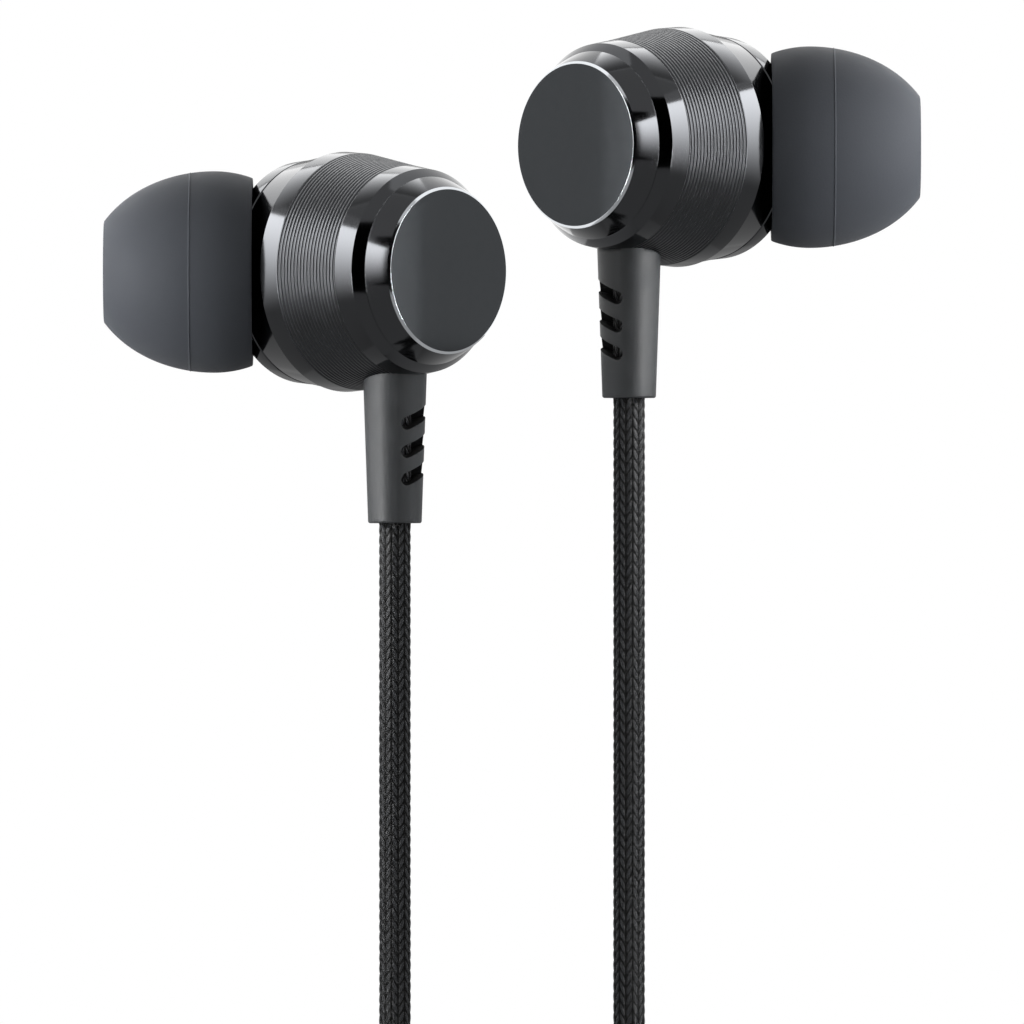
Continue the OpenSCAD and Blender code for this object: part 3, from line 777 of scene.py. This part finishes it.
DOME_R, DOME_RISE, DOME_TOP_H = 6.4, 1.4, -4.7
DOME_STEPS = 16
dome_ball = (DOME_R ** 2 + DOME_RISE ** 2) / (2 * DOME_RISE)
dome = []
for i in range(DOME_STEPS + 1):
    a = math.asin(DOME_R / dome_ball) * (1 - i / DOME_STEPS)
    dome.append((DOME_TOP_H + dome_ball * (1 - math.cos(a)),
                 max(dome_ball * math.sin(a), 0.05)))
shell = turned("front_shell_turned", rounded([
    (-2.95, 5.4), (-0.65, 5.4), (-0.65, 6.15), (-1.65, 6.15),
    (-1.65, 6.98, 0.02), (-1.72, 7.05, 0.03), (-2.85, 6.95, 0.05)]
    + dome))
laid(shell, ON_BARREL)
# the nozzle's end face reaches inside its bore, so that the bore is cut
# through it: a cut along its own edge can leave a disc in the mouth
nozzle = laid(turned("nozzle", rounded([
    (-6.3, 1.2), (-6.3, 2.05), (-6.2, 2.15), (-5.8, 2.15, 0.1),
    (-5.55, 2.35, 0.08), (-5.2, 2.35, 0.08), (-4.9, 2.15, 0.1),
    (0.35, 2.15, 0.1), (0.45, 2.4, 0.05), (4.6, 2.92)]), sides=96),
    ON_NOZZLE)
cut(shell, nozzle, "UNION")
cut(shell, laid(turned("chamber_tool", [(-3.0, 5.4), (-0.6, 5.4)]),
                ON_BARREL))
cut(shell, laid(turned("bore_tool", [(-7, 1.85), (-5.95, 1.85),
                                     (-5.95, 1.65), (5.6, 1.65)], sides=96),
                ON_NOZZLE))
clad(shell, [polished])
pair(shell, Matrix(), "front_shell")


# %% [markdown]
# ## Strain reliefs
# A tapered rubber sleeve, with three slots sawn half through so that it bends
# with the cord. They rise outwards, and the braid shows at their inner ends.
# The sleeve is turned, the barrel's outline and the slots are cut out of it,
# and a bevel rounds every edge last, as soft rubber has no sharp ones.

# %% Strain reliefs
RELIEF_BORE, RELIEF_TOP_Z = 1.0, -4.2
SLOTS_Z, SLOT_R, SLOT_CUT = (-9.1, -10.87, -12.6), 0.4, 4
SLOT_END_X, SLOT_RISE, SLOT_TURN = 0.68, math.radians(-18), math.radians(13)


def relief_r(up):
    """The sleeve's radius, up from its lower end."""
    return 1.67 + 0.35 * up / 10.2


taper = [(-15.4 + 0.3 * i, relief_r(0.3 * i + 0.3)) for i in range(34)]
relief = turned("strain_relief_moulded", rounded(
    [(RELIEF_END_Z, RELIEF_BORE), (RELIEF_END_Z, relief_r(0), 0.14)] + taper
    + [(RELIEF_TOP_Z, 2.02), (RELIEF_TOP_Z, RELIEF_BORE)], 6),
    closed=True, sides=128)
hull = turned("hull_tool", [(-1.65, 6.97), (0.66, 7.39), (2.1, 7.39),
                            (6.4, 6.54), (7.7, 6.34), (8.35, 5.84),
                            (8.6, 5.7)])
cut(relief, laid(hull, ON_RELIEF.inverted() @ ON_BARREL))
for z in SLOTS_Z:
    # a round bar, with its outer half drawn out past the sleeve
    bpy.ops.object.select_all(action="DESELECT")
    bpy.ops.mesh.primitive_cylinder_add(
        vertices=48, radius=SLOT_R * MM, depth=SLOT_CUT * MM,
        location=(0, -1.4 * MM, 0), rotation=(math.radians(90), 0, 0))
    saw = bpy.context.object
    bpy.ops.object.transform_apply()
    bpy.ops.object.mode_set(mode="EDIT")
    choose(saw, "polygons", lambda face:
           face.normal.x > 0.02 and abs(face.normal.y) < 0.5)
    bpy.ops.mesh.extrude_region_move()
    bpy.ops.transform.translate(value=(SLOT_CUT * MM, 0, 0))
    bpy.ops.object.mode_set(mode="OBJECT")
    laid(saw, Matrix.Translation((SLOT_END_X * MM, 0, z * MM))
         @ Matrix.Rotation(SLOT_RISE, 4, "Y")
         @ Matrix.Rotation(SLOT_TURN, 4, "X"))
    cut(relief, saw)
only(relief)
edges = relief.modifiers.new("edges", "BEVEL")
edges.width, edges.segments = 0.05 * MM, 3
edges.limit_method, edges.angle_limit = "ANGLE", math.radians(42)
edges.use_clamp_overlap = True
bpy.ops.object.modifier_apply(modifier="edges")
# faces inside the sleeve's surface at the slots' heights, slot walls and bore,
# are painted near black: painted shade in the recesses
clad(relief, [elastomer, slot_shade], lambda h, r, n:
     1 if -14 < h < -7.5 and r < relief_r(h - RELIEF_END_Z) - 0.1 else 0,
     angle=30)
pair(relief, ON_RELIEF, "strain_relief")


# %% [markdown]
# ## Braided polyester
# The cord's cover is braided from black polyester filament. Its yarns are
# glossy, but each one hides the light from the next, so it reads as black
# with a bright thread wherever a yarn turns towards a light. Colour and bump
# are worked out from the same columns and stitches as the relief, and the
# colour darkens to near black in the gaps between stitches as painted shade.

# %% Braid material
FILAMENTS = 6               # lines along each stitch, drawn coarse to show


def braid(name, tree_of, relief_too):
    """Braided yarn; tree_of gives the column and stitch sockets."""
    made = material(name, "#161718", 0.0, 0.34, Specular_IOR_Level=0.28)
    _, tree, shader, place = made

    def sums(operation, a, b=None, c=None):
        """One step of arithmetic, as a node's output."""
        given = {"i0": a} | ({"i1": b} if b is not None else {}) \
            | ({"i2": c} if c is not None else {})
        return add(tree, "ShaderNodeMath", {"operation": operation},
                   **given).outputs[0]

    u, v = tree_of(tree, sums, place)
    column = sums("FLOOR", u)
    f = sums("SUBTRACT", u, column)
    way = sums("MULTIPLY_ADD", sums("FLOORED_MODULO", column, 2.0), -2.0, 1.0)
    lean = sums("MULTIPLY", sums("MULTIPLY", way, STITCH_LEAN),
                sums("SUBTRACT", f, 0.5))
    t = sums("FRACT", sums("ADD", v, lean))
    across = sums("MULTIPLY_ADD", f, 2.0, -1.0)
    bulge = sums("MULTIPLY", sums("SINE", sums("MULTIPLY", t, math.pi)),
                 sums("SUBTRACT", 1.0, sums("MULTIPLY", across, across)))
    height = sums("MULTIPLY", bulge, sums("SUBTRACT", 2.0, bulge))
    thread = sums("SINE", sums("MULTIPLY", t, 2 * math.pi * FILAMENTS))
    thread = sums("MULTIPLY_ADD", thread, 0.5, 0.5)
    uneven = add(tree, "ShaderNodeTexNoise",
                 {"Scale": 1 / (0.9 * MM), "Detail": 3.0}, Vector=place)
    # the real relief takes over from the bump where the mesh has it
    share = 1.0
    if relief_too:
        deep = add(tree, "ShaderNodeAttribute",
                   {"attribute_name": "relief"}).outputs["Fac"]
        share = sums("MULTIPLY_ADD", deep, -0.8, 1.0)
    total = sums("ADD", sums("MULTIPLY", height, share),
                 sums("MULTIPLY", thread, 0.07))
    bump = add(tree, "ShaderNodeBump",
               {"Strength": 1.0, "Distance": 0.2 * MM},
               Height=total)
    tree.links.new(bump.outputs[0], shader.inputs["Normal"])
    # the colour runs from near black in the gaps between stitches, painted
    # shade, to the yarn's own dark grey on their tops, unevenly at random
    yarn_tone_and_gap_shade = add(tree, "ShaderNodeValToRGB", i0=sums(
        "MULTIPLY", height, sums("MULTIPLY_ADD", uneven.outputs[0],
                                 0.6, 0.62)))
    for stop, position, colour in zip(yarn_tone_and_gap_shade.color_ramp.elements, (0.45, 0.95),
                                      ("#010101", "#202123")):
        stop.position, stop.color = position, linear(colour)
    tree.links.new(yarn_tone_and_gap_shade.outputs[0], shader.inputs["Base Color"])
    # the gaps between the stitches are dull, the tops of the yarn glossy
    rough = sums("MULTIPLY_ADD", height, -0.8, 1.0)
    tree.links.new(rough, shader.inputs["Roughness"])
    return made


# %% Where each braid lies
def on_cord(tree, sums, _):
    """Column and stitch from the cord's own UV map."""
    own = add(tree, "ShaderNodeUVMap", {"uv_map": "braid"})
    parts = add(tree, "ShaderNodeSeparateXYZ", Vector=own.outputs[0])
    return (sums("MULTIPLY", parts.outputs[0], float(BRAID_COLUMNS)),
            parts.outputs[1])


def round_core(centre_x):
    """Column and stitch round an upright core, from its place alone."""
    def made(tree, sums, place):
        parts = add(tree, "ShaderNodeSeparateXYZ", Vector=place)
        turn = sums("ARCTAN2",
                    sums("SUBTRACT", parts.outputs[1], LEAD_Y * MM),
                    sums("SUBTRACT", parts.outputs[0], centre_x * MM))
        return (sums("MULTIPLY", turn, BRAID_COLUMNS / (2 * math.pi)),
                sums("MULTIPLY", parts.outputs[2], 1 / (STITCH * MM)))
    return made


# %% Braid onto the cords
def refinish(name, made):
    """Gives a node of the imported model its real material."""
    nodes[name].data.materials.clear()
    nodes[name].data.materials.append(made[0])


# Braided polyester filament yarn, black: glossy tops between dull gaps.
yarn = braid("polyester_filament_braid", on_cord, True)
for cord in (left_cord, right_cord, main_cord):
    cord.data.materials.append(yarn[0])
for side, centre_x in (("left", LEAD_X), ("right", RIGHT_X)):
    refinish(side + "_cord_core", braid("polyester_braid_in_relief_" + side,
                                        round_core(centre_x), False))


# %% [markdown]
# ## The other materials
# What the earpieces hold shows when they are opened or the ear tips come
# off, and the split, tie and plug lie at the cord's end. Each is made of its
# own material, at its own scale.

# %% Ribbed materials
WAVE_BANDS = 3.1831         # bands a metre that the wave gives at scale 1


def weave(made, pitch_mm, depth_mm, axis):
    """Straight ribs across one axis, as woven or wound threads lie."""
    _, tree, shader, place = made
    ribs = add(tree, "ShaderNodeTexWave",
               {"Scale": 1 / (pitch_mm * MM) / WAVE_BANDS, "Distortion": 0.6,
                "Detail": 2.0, "Detail Scale": 1.5,
                "bands_direction": axis}, Vector=place)
    bump = add(tree, "ShaderNodeBump",
               {"Strength": 1.0, "Distance": depth_mm * MM},
               Height=ribs.outputs[1])
    tree.links.new(bump.outputs[0], shader.inputs["Normal"])
    # the colour darkens to 0.45 of itself towards the ribs' troughs: painted
    # shade in the recesses
    colour = shader.inputs["Base Color"].default_value[:]
    trough_shade = tuple(c * 0.45 for c in colour[:3]) + (1.0,)
    mix = add(tree, "ShaderNodeMix", {"data_type": "RGBA"},
              i0=ribs.outputs[1], i6=trough_shade, i7=colour)
    tree.links.new(mix.outputs[2], shader.inputs["Base Color"])
    return made


# %% Inner and small parts
# Woven stainless wire cloth over the nozzle: bright wires, with painted shade in
# the gaps.
wire_mesh = weave(material("stainless_wire_cloth", "#a2a5a8", 1.0, 0.32),
                  0.12, 0.02, "Y")
# Felt and open-cell foam: matte, with pores that swallow the light.
damper = grain(material("polyester_damper_felt", "#b9b4a6", 0.0, 0.95,
                        Sheen_Weight=0.3), 0.06, 0.03, 0.0, "#8f8a7c")
gasket = grain(material("open_cell_foam_black", "#191a1b", 0.0, 0.9),
               0.1, 0.03, 0.04, "#101011")
# Stamped steel, nickel plated: warm grey mirror with faint press marks.
steel = grain(material("nickel_plated_steel_stamped", "#a9a6a0", 1.0, 0.28),
              0.5, 0.002, 0.06, "#99968f")
# Sintered magnet, nickel plated: the same colour with an orange-peel skin.
magnet = grain(material("neodymium_nickel_plated", "#b3b2ae", 1.0, 0.2),
               0.25, 0.003, 0.05, "#a5a39e")
# Moulded ABS of the driver's frame and the plug's core: satin black.
plastic = grain(material("moulded_black_plastic", "#1d1e20", 0.0, 0.42),
                0.09, 0.003, 0.06, "#232426")
# Enamelled copper: a winding's turns, and single wires under clear enamel.
coil = weave(material("enamelled_copper_winding", "#b8602f", 1.0, 0.3,
                      Coat_Weight=0.5), 0.06, 0.012, "X")
wire = grain(material("enamelled_copper_wire", "#a9552b", 1.0, 0.28,
                      Coat_Weight=0.6), 0.3, 0.002, 0.05, "#8f4322")
# Thermoformed polyester film: clear amber, faintly uneven.
film = grain(material("polyester_film_formed", "#cfc39c", 0.0, 0.12,
                      Transmission_Weight=0.45), 0.8, 0.004, 0.03)
# Glass-epoxy board under green solder mask.
board = grain(material("green_solder_mask", "#1d5a38", 0.0, 0.3,
                       Coat_Weight=0.4), 0.12, 0.004, 0.05, "#174a2d")
# Crimped brass ring that stops the cord from pulling out: dull yellow.
brass = grain(material("brass_crimped", "#b8965a", 1.0, 0.34),
              0.3, 0.004, 0.07, "#a5834a")
# Gold over nickel on the plug's contacts: warm, bright, faint wear lines.
gold = grain(material("gold_plated_contact", "#f0c878", 1.0, 0.22),
             0.4, 0.0008, 0.05, "#cda452")

# %% Materials onto the model's nodes
for base, made in (("nozzle_mesh", wire_mesh), ("nozzle_damper", damper),
                   ("driver_cover", steel), ("driver_gasket", gasket),
                   ("driver_frame", plastic), ("driver_yoke", steel),
                   ("driver_magnet", magnet), ("pole_plate", steel),
                   ("voice_coil", coil), ("diaphragm", film),
                   ("driver_board", board), ("conductors", wire),
                   ("cord_stop", brass)):
    for side in SIDES:
        refinish(f"{side}_{base}", made)
for name, made in (("y_split_core", elastomer), ("plug_insulator", plastic),
                   ("plug_sleeve_contact", gold), ("plug_ring_contact", gold),
                   ("plug_tip_contact", gold)):
    refinish(name, made)


# %% [markdown]
# ## Split, plug and strap
# The split's sleeve and the plug's boot and shell are round about their cord,
# so they are turned upright, at their places. The strap is a flat woven band
# round both coils. It starts as a box that loses two sides, a bevel bends its
# corners, and Solidify gives it a wall.

# %% Split and plug
def alone(piece, x, y, node):
    """Stands a turned piece upright at its place on the cord."""
    laid(piece, Matrix.Translation((x * MM, y * MM, 0)))
    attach(piece, "body")
    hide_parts(node)


# A metal sleeve with a groove at its waist, round the rubber core.
split = turned("y_split_turned", rounded([
    (-108.5, 2.35), (-108.5, 2.5, 0.05), (-108.75, 2.75, 0.12),
    (-115.2, 2.75, 0.04), (-115.4, 2.6, 0.05), (-115.6, 2.6, 0.05),
    (-115.8, 2.75, 0.04), (-123.25, 2.75, 0.12), (-123.5, 2.5, 0.05),
    (-123.5, 2.35)]), closed=True, sides=96)
clad(split, [polished])
alone(split, COIL_X, COIL_Y, "y_split_sleeve")

# The plug's boot widens to its shell, with seven rounded ribs on the way.
RIBS, RIB_PITCH = 7, 1.15
ribs = []
for i in range(RIBS):
    z = -98.6 - i * RIB_PITCH
    r = 1.6 + 0.8 * (-97.2 - z) / 9.8
    ribs += [(z + 0.2, r - 0.01, 0.05), (z + 0.12, r - 0.2, 0.06),
             (z - 0.22, r - 0.18, 0.06), (z - 0.3, r + 0.03, 0.05)]
boot = turned("plug_boot_moulded", rounded(
    [(BOOT_TOP_Z, 0.8), (BOOT_TOP_Z, 1.4, 0.08), (-97.2, 1.6, 0.1)] + ribs
    + [(-107.0, 2.4, 0.06), (-107.0, 0.8)], 3), sides=96)
clad(boot, [elastomer])
alone(boot, PLUG_X, PLUG_Y, "plug_boot")

plug_shell = turned("plug_shell_turned", rounded([
    (-107.0, 2.1), (-107.0, 2.6, 0.06), (-108.2, 3.25, 0.12),
    (-110.0, 3.25, 0.03), (-110.15, 3.12, 0.05), (-110.35, 3.12, 0.05),
    (-110.5, 3.25, 0.03), (-124.5, 3.25, 0.12), (-125.0, 2.75, 0.1),
    (-125.0, 2.1), (-119.0, 2.1), (-119.0, 1.9)]), sides=128)
clad(plug_shell, [polished])
alone(plug_shell, PLUG_X, PLUG_Y, "plug_shell")

# %% Strap
# Hook-and-loop strap, one closed band: woven nylon, matte, its ribs running
# round the coil.
nylon = weave(material("woven_nylon_strap", "#1b1c1e", 0.0, 0.75,
                       Sheen_Weight=0.35, Sheen_Roughness=0.4),
              0.32, 0.05, "X")
TIE_W, TIE_WALL, TIE_GAP, TIE_BEND = 4, 0.8, 0.3, 4.8
TIE_LOW, TIE_HIGH = 5.4, MAIN_OUT_R + MAIN_D / 2 + TIE_GAP
tie_z = COIL_Z + (TIE_LOW + TIE_HIGH) / 2
half_y = OUTER_LAYER + LEAD_D / 2 + TIE_GAP
bpy.ops.object.select_all(action="DESELECT")
bpy.ops.mesh.primitive_cube_add(size=1, location=(COIL_X * MM, COIL_Y * MM,
                                                  tie_z * MM))
tie = bpy.context.object
tie.name = tie.data.name = "strap_woven"
tie.scale = (TIE_W * MM, 2 * (half_y + TIE_WALL) * MM,
             (TIE_HIGH - TIE_LOW + 2 * TIE_WALL) * MM)
bpy.ops.object.transform_apply()
bpy.ops.object.mode_set(mode="EDIT")
# the box loses its two sides, and its four long edges are rounded
bpy.ops.mesh.select_mode(type="FACE")
choose(tie, "polygons", lambda face: abs(face.normal.x) > 0.9)
bpy.ops.mesh.delete(type="ONLY_FACE")
bpy.ops.mesh.select_mode(type="EDGE")
choose(tie, "edges", lambda edge: abs(
    tie.data.vertices[edge.vertices[0]].co.x
    - tie.data.vertices[edge.vertices[1]].co.x) > 1 * MM)
bpy.ops.mesh.bevel(offset=TIE_BEND * MM, segments=14, affect="EDGES")
bpy.ops.mesh.select_all(action="SELECT")
bpy.ops.mesh.normals_make_consistent(inside=False)
bpy.ops.object.mode_set(mode="OBJECT")
walls = tie.modifiers.new("walls", "SOLIDIFY")
walls.thickness, walls.offset = TIE_WALL * MM, -1
bpy.ops.object.modifier_apply(modifier="walls")
rim = tie.modifiers.new("rim", "BEVEL")
rim.width, rim.segments = 0.16 * MM, 3
rim.limit_method, rim.angle_limit = "ANGLE", math.radians(50)
bpy.ops.object.modifier_apply(modifier="rim")
clad(tie, [nylon])
print(tie.name, "has", len(tie.data.polygons), "faces")
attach(tie, "body")
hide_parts("cord_tie")


# %% [markdown]
# ## Cords on the body
# Each cord joins the body, and the model's nodes that it stands for are
# hidden. Its length, its route's points and the pieces that it carries, the
# Y-split where the leads end, the strap and plug on the main cord, are worked
# out but not used.

plug_pieces = [boot, plug_shell] + [nodes[n] for n in (
    "plug_insulator", "plug_sleeve_contact", "plug_ring_contact",
    "plug_tip_contact")]
for cord, route, d, far_end, with_pieces, stands_for in (
        (left_cord, left_route, LEAD_D, "connector",
         [split], ("left_lead", "left_lead_coil")),
        (right_cord, right_route, LEAD_D, "connector",
         [nodes["y_split_core"]],
         ("right_lead", "right_lead_coil")),
        (main_cord, main_route, MAIN_D, "plug",
         plug_pieces + [tie], ("main_cord", "main_coil"))):
    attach(cord, "body")
    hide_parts(*stands_for)
    length(route) * MM
    [tuple(p * MM) for p in route]
    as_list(with_pieces)

# %% Update the scene
bpy.context.view_layer.update()
